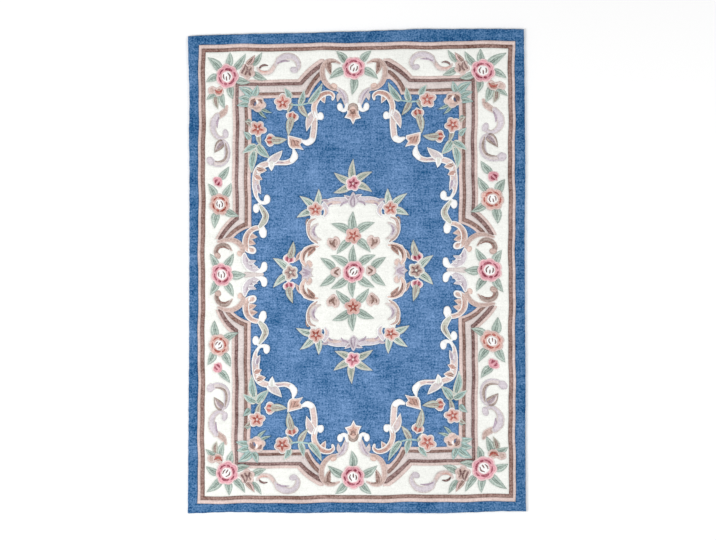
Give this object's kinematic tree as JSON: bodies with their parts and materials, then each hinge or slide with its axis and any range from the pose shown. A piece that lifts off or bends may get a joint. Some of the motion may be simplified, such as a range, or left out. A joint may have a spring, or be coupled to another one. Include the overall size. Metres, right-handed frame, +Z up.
{
  "type": "carved tufted wool rug",
  "caption": "Rectangular cut-pile wool rug with a lobed centre medallion, stepped inner frame and flowered border carved into the pile.",
  "frame": {"origin": "under the rug, at the centre of its outline, on the floor", "axes": "+Y along the rug's length, +X across its width, +Z up through the pile"},
  "size_m": [1.407, 2.015, 0.013],
  "materials": {
    "pile_blue": "matt cut wool pile, field",
    "pile_navy": "matt cut wool pile, outer border",
    "pile_ivory": "matt cut wool pile",
    "pile_pink": "matt cut wool pile",
    "pile_brown": "matt cut wool pile",
    "pile_taupe": "matt cut wool pile",
    "pile_peach": "matt cut wool pile",
    "pile_lilac": "matt cut wool pile",
    "pile_sage": "matt cut wool pile",
    "pile_rose": "matt cut wool pile",
    "pile_crimson": "matt cut wool pile",
    "backing_cloth": "plain cotton foundation cloth"
  },
  "bodies": {
    "root": {"rug": "pile_blue"}
  },
  "joints": []
}
